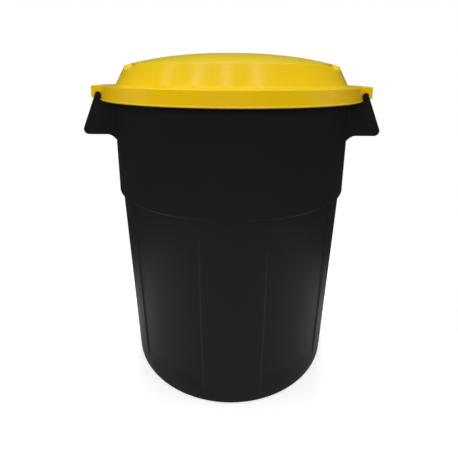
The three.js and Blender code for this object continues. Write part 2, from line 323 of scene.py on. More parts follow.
@dataclass
class Container:
    """The container below its handles: floor, walls, step and rim in one turned shell."""

    sizes: DrumSizes
    wall: float = 4 * MM
    foot_corner: float = 4.5 * MM
    foot_ring: float = 15 * MM
    foot_recess: float = 8 * MM
    floor: float = 5 * MM
    corner: float = 4 * MM
    root: float = 1.6 * MM
    panel_turn: float = 1.3
    panel_from: float = 14.0
    panel_to: float = 54.2
    panel_edge: float = 1.5
    panel_depth: float = 3 * MM
    panel_fade: float = 46 * MM
    turn_step: float = 1.5
    edge_reach: float = 0.65
    edge_clearance: float = 0.4
    heel: float = 2 * MM
    heel_slope: float = 10 * MM
    panel_start: float = 12 * MM
    floor_bend: float = 7 * MM

    def profile(self) -> list[tuple[float, float, float]]:
        """The section from the middle of the underside, over the rim, to the middle of the floor.

        Returns:
            Radius, height and share of the panel depth at each point.
        """
        s, wall, root = self.sizes, self.wall, self.root
        ring = s.foot_radius - self.foot_corner
        heel, bend = ring - self.foot_ring + 1 * MM, self.heel
        foot = [
            (0.0, self.foot_recess),
            *arc((heel - self.heel_slope, self.foot_recess - bend), bend, 90, 45, 2),
            *arc((heel, bend), bend, 225, 270, 2),
            *arc((ring, self.foot_corner), self.foot_corner, -90, 3.6, 8),
        ]
        panel_base = self.foot_corner + self.panel_start
        panel_heights = np.linspace(panel_base, panel_base + self.panel_fade, 9)
        outside = [(s.lower_radius(z), z) for z in panel_heights]
        step = s.step_bottom
        under = s.lower_radius(step)
        outside += arc((under + root, step - root), root, 180, 90, 3)
        lip = s.step_radius - self.corner
        outside += arc((lip, step + self.corner), self.corner, -90, 0, 6)
        outside += [(s.step_radius, s.step_top), (s.upper_top_radius, s.upper_top)]
        rim, top = s.rim_radius, s.rim_top
        collar = s.upper_top_radius
        outside += arc((collar + root, top - wall - root), root, 180, 90, 3)
        outside += arc((rim - wall - root, top - wall - root), root, 90, 0, 3)
        outside += arc((rim - wall / 2, s.lip_bottom + wall / 2), wall / 2, 180, 360, 6)
        outside += arc((rim - self.corner, top - self.corner), self.corner, 0, 90, 5)
        inner = collar - wall
        inside = arc((inner + self.corner, top - self.corner), self.corner, 90, 180, 5)
        inside += [(inner, s.upper_top), (s.step_radius - wall, s.step_top)]
        shelf = s.step_bottom + wall
        inside += arc((s.step_radius - wall - root, shelf + root), root, 0, -90, 3)
        lower_inner = s.lower_radius(shelf) - wall
        inside += arc((lower_inner + root, shelf - root), root, 90, 180, 3)
        inside += [(s.lower_radius(z) - wall, z) for z in panel_heights[::-1]]
        floor, bend = self.foot_recess + self.floor, self.floor_bend
        inside += arc((s.lower_radius(floor) - wall - bend, floor + bend), bend, 0, -90, 5)
        inside.append((0.0, floor))

        def share(r: float, z: float) -> float:
            """How much of the panel depth a point takes."""
            sunk = z < shelf and r < under + root / 2
            return float(smooth_step((z - panel_base) / self.panel_fade)) if sunk else 0.0

        return spaced([(r, z, share(r, z)) for r, z in foot + outside + inside])

    def turns(self) -> np.ndarray:
        """Turning angles from the front in degrees, packed closely at the panels' edges."""
        edges = [self.panel_from, self.panel_from + self.panel_edge]
        edges += [self.panel_to - self.panel_edge, self.panel_to]
        edges += [180 - e for e in edges]
        edges = [e + self.panel_turn for e in edges + [-e for e in edges]]
        reach = self.edge_reach
        near = np.array([e + d for e in edges for d in np.linspace(-reach, reach, 7)])
        even = np.arange(-180, 180 + self.turn_step / 2, self.turn_step)
        gap = np.abs(even[:, None] - near[None]).min(axis=1)
        kept = even[(gap > self.edge_clearance) | (np.abs(even) == 180)]
        return np.unique(np.round(np.concatenate([kept, near]), 4))

    def seed(self, profile: list[tuple], turns: np.ndarray) -> Piece:
        """The points that the tree reads: the profile's first, then one for each turn."""
        count = len(profile) + len(turns)
        mesh = bpy.data.meshes.new("container_wall")
        mesh.vertices.add(count)
        places = np.zeros((count, 3))
        places[: len(profile), 0] = [p[0] for p in profile]
        places[: len(profile), 2] = [p[1] for p in profile]
        mesh.vertices.foreach_set("co", places.ravel())
        for name, values in (
            ("sink", [p[2] for p in profile] + [0.0] * len(turns)),
            ("turn", [0.0] * len(profile) + list(turns)),
        ):
            mesh.attributes.new(name, "FLOAT", "POINT").data.foreach_set("value", values)
        return new_object(mesh)

    def tree(self) -> Tree:
        """The Geometry Nodes tree that turns a profile and sinks its panels, by named inputs."""
        group = bpy.data.node_groups.new("Turned shell with panels", "GeometryNodeTree")
        panel = [f"Panel {name}" for name in ("Turn", "From", "To", "Edge", "Depth")]
        for kind, names in (
            ("Geometry", ["Seed Points"]),
            ("Int", ["Profile Points", "Turns"]),
            ("Float", panel),
            ("Material", ["Finish"]),
        ):
            for name in names:
                socket = f"NodeSocket{kind}"
                group.interface.new_socket(name, in_out="INPUT", socket_type=socket)
        group.interface.new_socket("Shell", in_out="OUTPUT", socket_type="NodeSocketGeometry")
        t = NodeTree(group)
        given = t.add("NodeGroupInput").outputs
        columns = t.math("SUBTRACT", given["Profile Points"], 1.0)
        rows = t.math("SUBTRACT", given["Turns"], 1.0)
        counts = {"Vertices X": given["Profile Points"], "Vertices Y": given["Turns"]}
        grid = t.add("GeometryNodeMeshGrid", {"Size X": columns, "Size Y": rows, **counts})
        position = t.add("GeometryNodeInputPosition").outputs[0]
        place = t.add("ShaderNodeSeparateXYZ", {0: position})
        column = t.math("ROUND", t.math("MULTIPLY_ADD", columns, 0.5, place.outputs[0]))
        row = t.math("ROUND", t.math("MULTIPLY_ADD", rows, 0.5, place.outputs[1]))

        def sampled(field: Socket, index: Socket, kind: str = "FLOAT") -> Socket:
            """Reads a field of the seed points at an index."""
            node = t.add("GeometryNodeSampleIndex", data_type=kind, domain="POINT")
            inputs = {"Geometry": given["Seed Points"], "Value": field, "Index": index}
            for key, socket in inputs.items():
                group.links.new(socket, node.inputs[key])
            return node.outputs["Value"]

        def attribute(name: str) -> Socket:
            """A float attribute by its name."""
            node = t.add("GeometryNodeInputNamedAttribute", {"Name": name}, data_type="FLOAT")
            return node.outputs["Attribute"]

        point = sampled(position, column, "FLOAT_VECTOR")
        section = t.add("ShaderNodeSeparateXYZ", {0: point}).outputs
        sink = sampled(attribute("sink"), column)
        turn = sampled(attribute("turn"), t.math("ADD", row, given["Profile Points"]))
        plain = t.math("ABSOLUTE", t.math("SUBTRACT", turn, given["Panel Turn"]))
        folded = t.math("MINIMUM", plain, t.math("SUBTRACT", 180.0, plain))
        start, end, edge = (given[f"Panel {name}"] for name in ("From", "To", "Edge"))
        soft = {"interpolation_type": "SMOOTHSTEP"}
        into = t.ramp(folded, start, t.math("ADD", start, edge), **soft)
        out = t.ramp(folded, end, t.math("SUBTRACT", end, edge), **soft)
        depth = t.product(into, out, sink, given["Panel Depth"])
        radius = t.math("SUBTRACT", section[0], depth)
        radians = t.math("RADIANS", turn)
        x = t.product(radius, t.math("SINE", radians))
        y = t.product(radius, t.product(t.math("COSINE", radians), -1.0))
        spot = t.add("ShaderNodeCombineXYZ", {0: x, 1: y, 2: section[2]}).outputs[0]
        shell = grid.outputs["Mesh"]
        for kind, inputs in (
            ("SetPosition", {"Position": spot}),
            ("MergeByDistance", {"Distance": 1e-6}),
            ("SetShadeSmooth", {}),
            ("RealizeInstances", {}),
            ("SetMaterial", {"Material": given["Finish"]}),
        ):
            shell = t.add(f"GeometryNode{kind}", {"Geometry": shell, **inputs}).outputs[0]
        t.add("NodeGroupOutput", {0: shell})
        return group

    def build(self, material: Material) -> Piece:
        """Makes the finished shell."""
        profile, turns = self.profile(), self.turns()
        piece = self.seed(profile, turns)
        modifier = piece.modifiers.new("turned_shell", "NODES")
        modifier.node_group = self.tree()
        values = {
            "Profile Points": len(profile),
            "Turns": len(turns),
            "Panel Turn": self.panel_turn,
            "Panel From": self.panel_from,
            "Panel To": self.panel_to,
            "Panel Edge": self.panel_edge,
            "Panel Depth": self.panel_depth,
            "Finish": material,
        }
        for item in modifier.node_group.interface.items_tree:
            if item.in_out == "INPUT" and item.name in values:
                modifier[item.identifier] = values[item.name]
        apply_modifiers(piece)
        close_mesh(piece.data)
        walls = ["base_pan", "lower_wall", "step_ring", "upper_wall"]
        rims = ["rim_collar", "rim_ledge", "rim_lip"]
        settle(piece, Body.CONTAINER, material, *walls, *rims)
        return piece


# ---- Handles ------------------------------------------------------------------------------------


@dataclass
class Handle:
    """One side handle: a hooked grip with a rolled top edge, a roof and two cheeks."""

    sizes: DrumSizes
    side: Side
    half_width: float = 90 * MM
    cheek: float = 4 * MM
    grip: float = 5 * MM
    slope: float = 0.375
    curl: float = 11 * MM
    neck_radius: float = 308.7 * MM
    neck_drop: float = 24 * MM
    bead_centre: float = 299 * MM
    bead_drop: float = 14.5 * MM
    bead_radius: float = 6 * MM
    bead_overrun: float = 4 * MM
    bead_swell: float = 0.15 * MM
    bead_rounding: float = 2.2 * MM
    neck_depth: float = 7 * MM
    roof_drop: float = 27 * MM
    roof: float = 4 * MM
    flare_run: float = 18 * MM
    flare_drop: float = 11.5 * MM
    bevel: float = 1.7 * MM
    fillet: float = 6 * MM
    fillet_fade: float = 12 * MM
    fillet_sunk: float = 0.8 * MM
    sunk: float = 2 * MM

    @property
    def name(self) -> str:
        """The side's name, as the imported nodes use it."""
        return self.side.name.lower()

    def face_radius(self, z: float, depth: float = 0.0) -> float:
        """Radius of a line parallel to the grip's outer face, sunk by some depth, at a height."""
        run = (self.sizes.rim_top - self.neck_drop - z) * self.slope
        return self.neck_radius + run - depth * math.hypot(1, self.slope)

    def place(self, radius: float, y: float, z: float) -> tuple[float, float, float]:
        """Where a point of the turned section is, at a distance along the handle."""
        return (self.side.value * math.sqrt(radius**2 - y**2), y, z)

    @property
    def tilt(self) -> float:
        """How far the grip leans, in degrees."""
        return math.degrees(math.atan(self.slope))

    @property
    def curl_centre(self) -> Point:
        """Where the curl of the grip's bottom edge turns about."""
        height = self.sizes.grip_bottom + self.curl
        return (self.face_radius(height, self.curl), height)

    def outer_path(self) -> list[Point]:
        """The outline over the roof and the bead, down the grip and round its curl."""
        s = self.sizes
        roof_top = s.rim_top - self.roof_drop
        bead = (self.bead_centre, s.rim_top - self.bead_drop)
        wall = s.upper_radius(roof_top) - self.sunk
        root = 2 * MM
        path = [(wall, roof_top)]
        path += arc((bead[0] - self.bead_radius - root, roof_top + root), root, -90, 0, 3)
        path += arc(bead, self.bead_radius, 180, self.tilt, 12)
        path += arc(self.curl_centre, self.curl, self.tilt, -90, 9)
        return spaced(path, 14 * MM, 1 * MM)

    def inner_path(self) -> list[Point]:
        """The outline of the finger pocket, from the curl's end up and in under the roof."""
        s = self.sizes
        under = s.rim_top - self.roof_drop - self.roof
        root = 4 * MM
        bend_height = under - root
        bend = (self.face_radius(bend_height, self.grip) - root, bend_height)
        path = arc(self.curl_centre, self.curl - self.grip, -90, self.tilt, 7)
        path += arc(bend, root, 15, 90, 4)
        path.append((s.upper_radius(under) - self.sunk, under))
        return path

    def bottom_path(self, count: int) -> list[Point]:
        """The bottom edge of a cheek, from the curl's end in to its flare at the wall.

        Args:
            count: How many points the path has.
        """
        bottom = self.sizes.grip_bottom
        wall = self.sizes.upper_radius(bottom)
        start, end = self.curl_centre[0] - 0.6 * MM, wall + self.flare_run
        bends = 6
        last = count - bends - 2
        path = [(start + (end - start) * i / last, bottom) for i in range(last + 1)]
        for i in range(1, bends + 1):
            t = i / bends
            path.append((wall + self.flare_run * (1 - t), bottom - self.flare_drop * t * t))
        path.append((wall - self.sunk, bottom - self.flare_drop - 1.5 * MM))
        return path

    def hook(self) -> Piece:
        """Grip, roof and cheeks as one closed mesh."""
        outer, inner = self.outer_path(), self.inner_path()
        inner = spaced(inner, 16 * MM, 1 * MM)
        bottom = self.bottom_path(len(inner) + 1)[: len(inner)]
        hook, cheek = outer + inner, outer + bottom
        end, face = self.half_width, self.half_width - self.cheek
        middle = [(y, hook) for y in np.linspace(-face, face, 19)]
        stations = [(-end, cheek), (-face, cheek), *middle, (face, cheek), (end, cheek)]
        rows = np.array([[self.place(r, y, z) for r, z in loop] for y, loop in stations])
        mesh = grid_mesh(rows, "hook")
        work = bmesh.new()
        work.from_mesh(mesh)
        bmesh.ops.holes_fill(work, edges=[e for e in work.edges if e.is_boundary], sides=0)
        bmesh.ops.recalc_face_normals(work, faces=work.faces)
        work.to_mesh(mesh)
        work.free()
        piece = new_object(mesh)
        bevel = piece.modifiers.new("edges", "BEVEL")
        bevel.width, bevel.segments, bevel.limit_method = self.bevel, 3, "ANGLE"
        bevel.angle_limit = math.radians(38)
        bevel.harden_normals = bevel.use_clamp_overlap = True
        apply_modifiers(piece)
        return piece

    def bead(self) -> Piece:
        """The rolled top edge, which stands out past the cheeks, with its neck below."""
        radius = self.bead_radius + self.bead_swell
        height = self.sizes.rim_top - self.bead_drop
        end = self.half_width + self.bead_overrun
        round_off = self.bead_rounding
        stations = [(-end, 0.0)]
        stations += [
            (-end + round_off * (1 - math.sin(a)), radius - round_off * (1 - math.cos(a)))
            for a in np.radians([90, 67, 45, 22, 0])
        ]
        inner = end - 2 * round_off
        stations += [(y, radius) for y in np.linspace(-inner, inner, 21)]
        stations += [(-y, r) for y, r in reversed(stations[:6])]
        rows = [
            [self.place(self.bead_centre + p[0], y, height + p[1]) for p in self.bead_section(r)]
            for y, r in stations
        ]
        return new_object(grid_mesh(np.array(rows), "bead"))

    def bead_section(self, radius: float) -> list[Point]:
        """Round section of the bead, drawn down into a neck, about the bead's centre."""
        drop = self.neck_depth * radius / (self.bead_radius + self.bead_swell)
        around = arc((0.0, 0.0), radius, 0, 180, 14)
        return [*around, (-0.9 * radius, -drop), (0.95 * radius, -drop)]

    def wall_fillet(self, end: int) -> Piece:
        """The fillet between a cheek's outer face and the wall, as a slim prism sunk into both.

        Args:
            end: -1 for the front cheek and 1 for the rear one.
        """
        s = self.sizes
        low = s.grip_bottom - self.flare_drop
        high = s.rim_top - self.roof_drop + 4 * MM
        rows = []
        for z in np.linspace(low + 1 * MM, high, 20):
            wall = s.upper_radius(z)
            corner = np.array([math.sqrt(wall**2 - self.half_width**2), self.half_width])
            tangent = np.array([-corner[1], corner[0]]) / wall
            out = np.array([1.0, 0.0])
            opening = math.acos(float(tangent @ out))
            size = self.fillet * float(smooth_step((z - low) / self.fillet_fade))
            reach = size / math.tan(opening / 2)
            middle = tangent + out
            middle /= np.linalg.norm(middle)
            centre = corner + middle * size / math.sin(opening / 2)
            start, finish = corner + out * reach - centre, corner + tangent * reach - centre
            ring = []
            for t in np.linspace(0, 1, 7):
                spoke = start * (1 - t) + finish * t
                ring.append(centre + spoke / max(np.linalg.norm(spoke), 1e-9) * size)
            inward = self.fillet_sunk
            ring = [ring[0] - (0, inward), *ring, ring[-1] - corner / wall * inward]
            ring.append(corner - middle * inward)
            rows.append([(self.side.value * x, end * y, z) for x, y in ring])
        tips = [[tuple(np.mean(row, axis=0))] * len(row) for row in (rows[0], rows[-1])]
        return new_object(grid_mesh(np.array([tips[0], *rows, tips[1]]), "fillet", 1e-7))

    def build(self, material: Material) -> Piece:
        """Makes the finished handle."""
        parts = [self.hook(), self.bead(), self.wall_fillet(-1), self.wall_fillet(1)]
        piece = joined(parts, f"{self.name}_handle")
        nodes = ("grip", "handle_roof", "front_cheek", "rear_cheek")
        settle(piece, Body.CONTAINER, material, *(f"{self.name}_{node}" for node in nodes))
        return piece


# ---- Lid ----------------------------------------------------------------------------------------


def whole_loop(quarter: list, rear: object = 1, left: object = 1) -> np.ndarray:
    """A closed loop from a quarter of it, mirrored front to back and side to side.

    Args:
        quarter: One value or point for each station, from the front round to the right.
        rear: What the values are multiplied by behind.
        left: What they are multiplied by on the left.
    """
    front = np.array(quarter, float)
    half = np.concatenate([front, front[-2::-1] * rear])
    return np.concatenate([half, half[-2:0:-1] * left])


@dataclass
class Lid:
    """The lid: crown, grip ledges, leaning dome wall, flange, skirt and two ears."""

    sizes: DrumSizes
    wall: float = 3 * MM
    flare: float = 1.5 * MM
    bead: float = 1.2 * MM
    bead_height: float = 3.5 * MM
    edge: float = 1.3 * MM
    flange_width: float = 33 * MM
    flange_rise: float = 2 * MM
    foot_rise: float = 10 * MM
    foot_fillet: float = 7 * MM
    dome_lean: float = 17 * MM
    dome_height: float = 44 * MM
    shoulder_corner: float = 4 * MM
    crown_fullness: float = 2.5
    ledge_from: float = 50.0
    ledge_to: float = 67.0
    ledge_blend: float = 1.6
    ledge_width: float = 12 * MM
    ledge_drop: float = 2 * MM
    ledge_fall: float = 6 * MM
    ear_corner: float = 3.4 * MM
    ear_root: float = 1.2 * MM
    notch_centre: float = 299 * MM
    notch_height: float = 621.5 * MM
    notch_radius: float = 7 * MM
    notch_margin: float = 0.06 * MM

    def outline_spots(self) -> list[tuple[str, float, float]]:
        """Stations of a quarter of the outline: stretch, share of it and angle on the dome."""
        blend = self.ledge_blend
        marks = [0.0]
        for edge in (self.ledge_from, self.ledge_to):
            marks += [edge - blend, edge + blend]
        angles = np.concatenate(
            [np.linspace(a, b, n)[:-1] for a, b, n in zip(marks, marks[1:], (33, 9, 9, 9))]
        )
        end = marks[-1]
        spots = [("arc", a / end, a) for a in [*angles, end]]
        rest = [("root", t, 0.0) for t in np.linspace(0, 1, 6)[1:]]
        rest += [("line_in", t, 0.0) for t in (0.4364, 1.0)]
        rest += [("notch", t, 0.0) for t in np.linspace(0, 1, 15)]
        rest += [("line_out", t, 0.0) for t in (0.0, 0.5, 1.0)]
        rest += [("corner", t, 0.0) for t in np.linspace(0, 1, 6)[1:]]
        rest += [("ear", t, 0.0) for t in np.linspace(0, 1, 12)[1:]]
        turn = np.linspace(end, 90, len(rest) + 1)[1:]
        return spots + [(kind, t, a) for (kind, t, _), a in zip(rest, turn)]

    def quarter(self, offset: float) -> list[Point]:
        """A quarter of the outline in plan, from the front round to the side.

        Args:
            offset: How far out from the skirt's plain radius the line is.

        Returns:
            X and Y of each station, in the front right quarter.
        """
        s = self.sizes
        ring, half, far = s.skirt_radius + offset, s.ear_half_width + offset, s.ear_radius + offset
        root, corner = self.ear_root - offset, self.ear_corner + offset
        root = max(root, 0.3 * MM)
        root_centre = (math.sqrt((ring + root) ** 2 - (half + root) ** 2), -(half + root))
        corner_centre = (math.sqrt((far - corner) ** 2 - (half - corner) ** 2), -(half - corner))
        arc_end = math.degrees(math.atan2(root_centre[0], -root_centre[1]))
        ear_start = math.degrees(math.atan2(corner_centre[0], -corner_centre[1]))
        notch = math.sqrt(self.notch_centre**2 - s.ear_half_width**2)
        low = notch - self.notch_radius - self.notch_margin
        high = notch + self.notch_radius + self.notch_margin

        def turned(centre: Point, radius: float, angle: float) -> Point:
            """A point at an angle in degrees about a centre."""
            a = math.radians(angle)
            return (centre[0] + radius * math.cos(a), centre[1] + radius * math.sin(a))

        points = []
        for kind, t, _ in self.outline_spots():
            if kind == "arc":
                a = math.radians(arc_end * t)
                points.append((ring * math.sin(a), -ring * math.cos(a)))
            elif kind == "root":
                start = 90 + arc_end
                points.append(turned(root_centre, root, start + (90 - start) * t))
            elif kind == "line_in":
                points.append((root_centre[0] + (low - root_centre[0]) * t, -half))
            elif kind == "notch":
                points.append((notch - self.notch_radius * math.cos(math.pi * t), -half))
            elif kind == "line_out":
                points.append((high + (corner_centre[0] - high) * t, -half))
            elif kind == "corner":
                points.append(turned(corner_centre, corner, -90 + ear_start * t))
            else:
                a = math.radians(ear_start + (90 - ear_start) * t)
                points.append((far * math.sin(a), -far * math.cos(a)))
        return points

    def bottom_heights(self) -> np.ndarray:
        """Height of the skirt's and the ears' bottom edge at each station, notches included."""
        heights = []
        for kind, t, _ in self.outline_spots():
            if kind == "notch":
                heights.append(self.notch_height + self.notch_radius * math.sin(math.pi * t))
            elif kind in ("arc", "root", "line_in"):
                heights.append(self.sizes.skirt_bottom)
            else:
                heights.append(self.sizes.ear_bottom)
        return whole_loop(heights)

    def skirt_share(self) -> np.ndarray:
        """1 on the plain skirt and 0 on the ears, for the flare and the bottom bead."""
        shares = [float(kind == "arc") for kind, _, _ in self.outline_spots()]
        shares[shares.index(0.0) - 1] = 0.5
        return whole_loop(shares)

    def dome_profiles(self, inset: float) -> tuple[list[Point], list[Point]]:
        """The dome from its middle down to the flange, plain and with a grip ledge cut in.

        Args:
            inset: How far in from the outside the profile is.

        Returns:
            Two profiles with as many points as each other.
        """
        s = self.sizes
        foot_radius = s.skirt_radius - self.flange_width
        foot, shoulder = s.flange_top + self.foot_rise, s.flange_top + self.dome_height
        lean = math.atan2(self.dome_lean, shoulder - foot)
        corner = self.shoulder_corner - min(inset, self.shoulder_corner - 1 * MM)

        def wall_radius(z: float) -> float:
            """Radius of the leaning wall at a height."""
            return foot_radius - (z - foot) * math.tan(lean) - inset / math.cos(lean)

        corner_height = shoulder - inset - corner
        corner_radius = wall_radius(corner_height) - corner / math.cos(lean)
        rise = s.crown_top - shoulder
        ledge_radius = foot_radius - self.dome_lean - self.ledge_width - inset
        crown_radii = [ledge_radius * math.sin(math.pi / 2 * i / 22) for i in range(23)]
        top = corner_height + corner

        def crown(radius: float) -> float:
            """Height of the crown at a radius."""
            return top + rise * (1 - (radius / corner_radius) ** self.crown_fullness)

        middle = [(r, crown(r)) for r in crown_radii]
        rim = [(r, crown(r)) for r in np.linspace(ledge_radius, corner_radius, 5)[1:-1]]
        rim += arc((corner_radius, corner_height), corner, 76, math.degrees(lean), 7)
        ledge_top = shoulder - self.ledge_drop - inset
        fall = self.ledge_fall / self.ledge_width

        def ledge(radius: float) -> float:
            """Height of a ledge at a radius."""
            return ledge_top - (radius - ledge_radius) * fall

        radius = ledge_radius
        for _ in range(8):
            radius = wall_radius(ledge(radius))
        ledge_end = (radius, ledge(radius))
        bend_height = s.flange_top + self.flange_rise + self.foot_fillet
        bend = self.foot_fillet + inset
        bend_radius = wall_radius(bend_height) + bend / math.cos(lean)
        filled = arc((bend_radius, bend_height), bend, 180 + math.degrees(lean), 266, 6)
        wall_top = ledge_end[1] - 1.5 * MM
        wall_drop = wall_top - filled[0][1] - 1 * MM
        wall_heights = [wall_top - wall_drop * t for t in np.linspace(0, 1, 6)]
        below = [(wall_radius(z), z) for z in wall_heights] + filled
        heights = np.linspace(rim[-1][1], wall_top, 5)[1:-1]
        plain = rim + [(wall_radius(z), z) for z in heights]
        edge_top = crown(ledge_radius)
        drop = edge_top - ledge_top
        bend_end = ledge_radius + 1.2 * MM
        cut = [
            (ledge_radius + 0.2 * MM, edge_top - 0.15 * drop),
            (ledge_radius + 0.3 * MM, edge_top - 0.6 * drop),
            (ledge_radius + 0.5 * MM, ledge_top + 0.4 * MM),
            (bend_end, ledge(bend_end) + 0.05 * MM),
        ]
        flat = np.linspace(ledge_radius + 2 * MM, ledge_end[0] - 1 * MM, len(plain) - len(cut) - 1)
        cut += [(r, ledge(r)) for r in flat]
        cut.append((ledge_end[0] - 0.15 * MM, ledge_end[1] - 0.35 * MM))
        return middle + plain + below, middle + cut + below

    def ledge_share(self, angles: np.ndarray) -> np.ndarray:
        """1 over a grip ledge and 0 clear of it, for angles from the front in degrees."""
        folded = np.minimum(angles, 180 - angles)
        rise = smooth_step((folded - self.ledge_from) / self.ledge_blend + 0.5)
        fall = smooth_step((self.ledge_to - folded) / self.ledge_blend + 0.5)
        return rise * fall

    def shell_rows(self, inset: float, angles: np.ndarray, sides: np.ndarray) -> list[np.ndarray]:
        """Rows of the dome, from its middle out to the flange."""
        plain, cut = self.dome_profiles(inset)
        share = self.ledge_share(angles)
        rows = []
        for (r0, z0), (r1, z1) in zip(plain, cut):
            radius = r0 + (r1 - r0) * share
            height = z0 + (z1 - z0) * share
            a = np.radians(angles)
            rows.append(np.stack([sides * radius * np.sin(a), -radius * np.cos(a), height], axis=1))
        return rows

    def ring(self, offsets: np.ndarray | float, heights: np.ndarray | float) -> np.ndarray:
        """A row of the flange or the skirt.

        Args:
            offsets: How far out from the plain outline each station is.
            heights: Its height.
        """
        count = len(self.skirt_share())
        offsets = np.broadcast_to(offsets, count)
        plan = np.zeros((count, 2))
        for level in np.unique(np.round(offsets, 7)):
            match = np.isclose(offsets, level, atol=1e-7)
            plan[match] = whole_loop(self.quarter(float(level)), (1, -1), (-1, 1))[match]
        return np.column_stack([plan, np.broadcast_to(heights, count)])

    def rows(self) -> np.ndarray:
        """All rows of the lid, from the crown over the skirt and back under the crown."""
        q = np.array([a for _, _, a in self.outline_spots()])
        half = np.concatenate([q, 180 - q[-2::-1]])
        angles = np.concatenate([half, half[-2:0:-1]])
        sides = whole_loop(np.ones(len(q)), left=-1)
        share, bottom = self.skirt_share(), self.bottom_heights()
        top, under = self.sizes.flange_top, self.sizes.flange_bottom
        flare, edge, inner = self.flare * share, self.edge, -self.wall

        out = self.shell_rows(0.0, angles, sides)
        foot, rim = out[-1], self.ring(-edge, top)
        for t in (0.04, 0.3, 0.6, 0.85, 0.97):
            out.append(foot * (1 - t) + rim * t)
        for a in np.radians([90, 68, 45, 22, 0]):
            out.append(self.ring(-edge + edge * math.cos(a), top - edge + edge * math.sin(a)))
        start = top - edge
        for t in (0.03, 0.25, 0.5, 0.75, 0.97):
            height = start + (bottom + self.bead_height - start) * t
            out.append(self.ring(flare * t, height))
        for bulge, up in ((0, 1), (0.55, 0.86), (1, 0.62), (1, 0.34), (0.45, 0.1), (-0.4, 0)):
            tuck = 0.4 * MM * (1 - share) * (up == 0)
            height = bottom + self.bead_height * up * (share * 0.94 + 0.06)
            out.append(self.ring(flare + self.bead * bulge * share - tuck, height))
        for step, up in ((0.5, 0.0), (0.85, 0.1), (1.0, 0.35)):
            out.append(self.ring(flare + inner * step, bottom + self.bead_height * up * 0.4))
        low = bottom + 1 * MM
        for t in (0.06, 0.35, 0.65, 0.94, 1.0):
            out.append(self.ring(flare * round(1 - t, 2) + inner, low + (under - low) * t))
        inside = self.shell_rows(self.wall, angles, sides)
        rim_in = self.ring(inner, under)
        foot = inside[-1]
        for t in (0.04, 0.4, 0.7, 0.96):
            out.append(rim_in * (1 - t) + foot * t)
        out += inside[::-1]
        return np.array(out)

    def build(self, material: Material) -> Piece:
        """Makes the finished lid."""
        piece = new_object(grid_mesh(self.rows(), "lid_moulding"))
        top = ["lid_crown", "lid_shoulder", "lid_dome_wall", "lid_flange"]
        sides = ["lid_front_skirt", "lid_rear_skirt", "lid_left_ear", "lid_right_ear"]
        settle(piece, Body.LID, material, *top, *sides)
        return piece


# ---- Finishes -----------------------------------------------------------------------------------


def shader_group(name: str, inputs: dict[str, float], outputs: list[str]) -> NodeTree:
    """An empty shader node group with float sockets.

    Args:
        name: The group's name.
        inputs: Default value of each input by its name.
        outputs: Names of the outputs.
    """
    group = bpy.data.node_groups.new(name, "ShaderNodeTree")
    kind = "NodeSocketFloat"
    for key, value in inputs.items():
        socket = group.interface.new_socket(key, in_out="INPUT", socket_type=kind)
        socket.default_value = value
    for key in outputs:
        group.interface.new_socket(key, in_out="OUTPUT", socket_type=kind)
    return NodeTree(group)


def emptied(owner: Material | bpy.types.World) -> NodeTree:
    """The node tree of a material or a world, with nothing in it."""
    owner.use_nodes = True
    owner.node_tree.nodes.clear()
    return NodeTree(owner.node_tree)


def moulded_grain() -> Tree:
    """The fine grain of a moulded surface, the slow waviness of its walls and its flow marks."""
    inputs = {"Grain Scale": 900.0, "Grain Depth": 1.0, "Wave Depth": 1.0}
    t = shader_group("Moulded grain", inputs, ["Height", "Flow"])
    given = t.add("NodeGroupInput").outputs
    spot = t.add("ShaderNodeTexCoord").outputs["Object"]
    drawn = {"Vector": spot, "Scale": (1.0, 1.0, 0.22)}
    upright = t.add("ShaderNodeMapping", drawn).outputs[0]
    fine = t.noise(spot, given["Grain Scale"], 3.0)
    wave = t.noise(upright, 7.0, 1.0)
    flow = t.noise(upright, 26.0, 5.0, Roughness=0.6)
    grain = t.product(fine, given["Grain Depth"])
    height = t.math("MULTIPLY_ADD", wave, given["Wave Depth"], grain)
    t.add("NodeGroupOutput", {"Height": height, "Flow": flow})
    return t.tree


def handling_marks_and_top_light() -> Tree:
    """Faint scuffs, and dust with painted top light on faces that look up."""
    inputs = {"Scuff Scale": 60.0, "Scuffs": 0.5, "Dust": 0.5}
    t = shader_group("Handling marks and top light", inputs, ["Scuff", "Dust"])
    given = t.add("NodeGroupInput").outputs
    spot = t.add("ShaderNodeTexCoord").outputs["Object"]
    drawn = {"Vector": spot, "Rotation": (0.3, 0.5, 0.2), "Scale": (1.0, 1.0, 9.0)}
    slanted = t.add("ShaderNodeMapping", drawn).outputs[0]
    lines = t.ramp(t.noise(slanted, given["Scuff Scale"], 4.0), 0.62, 0.74)
    patches = t.ramp(t.noise(spot, 5.0, 2.0), 0.5, 0.7)
    scuff = t.product(lines, patches, given["Scuffs"])
    # Faces that look up get dust and also painted top light: the more they face upward, the paler
    # they are.
    normal = t.add("ShaderNodeNewGeometry").outputs["Normal"]
    up = t.add("ShaderNodeSeparateXYZ", {0: normal}).outputs[2]
    cover = t.math("MULTIPLY_ADD", t.noise(spot, 140.0, 4.0), 0.3, 0.75)
    dust = t.product(t.ramp(up, 0.0, 0.9), cover, given["Dust"])
    t.add("NodeGroupOutput", {"Scuff": scuff, "Dust": dust})
    return t.tree


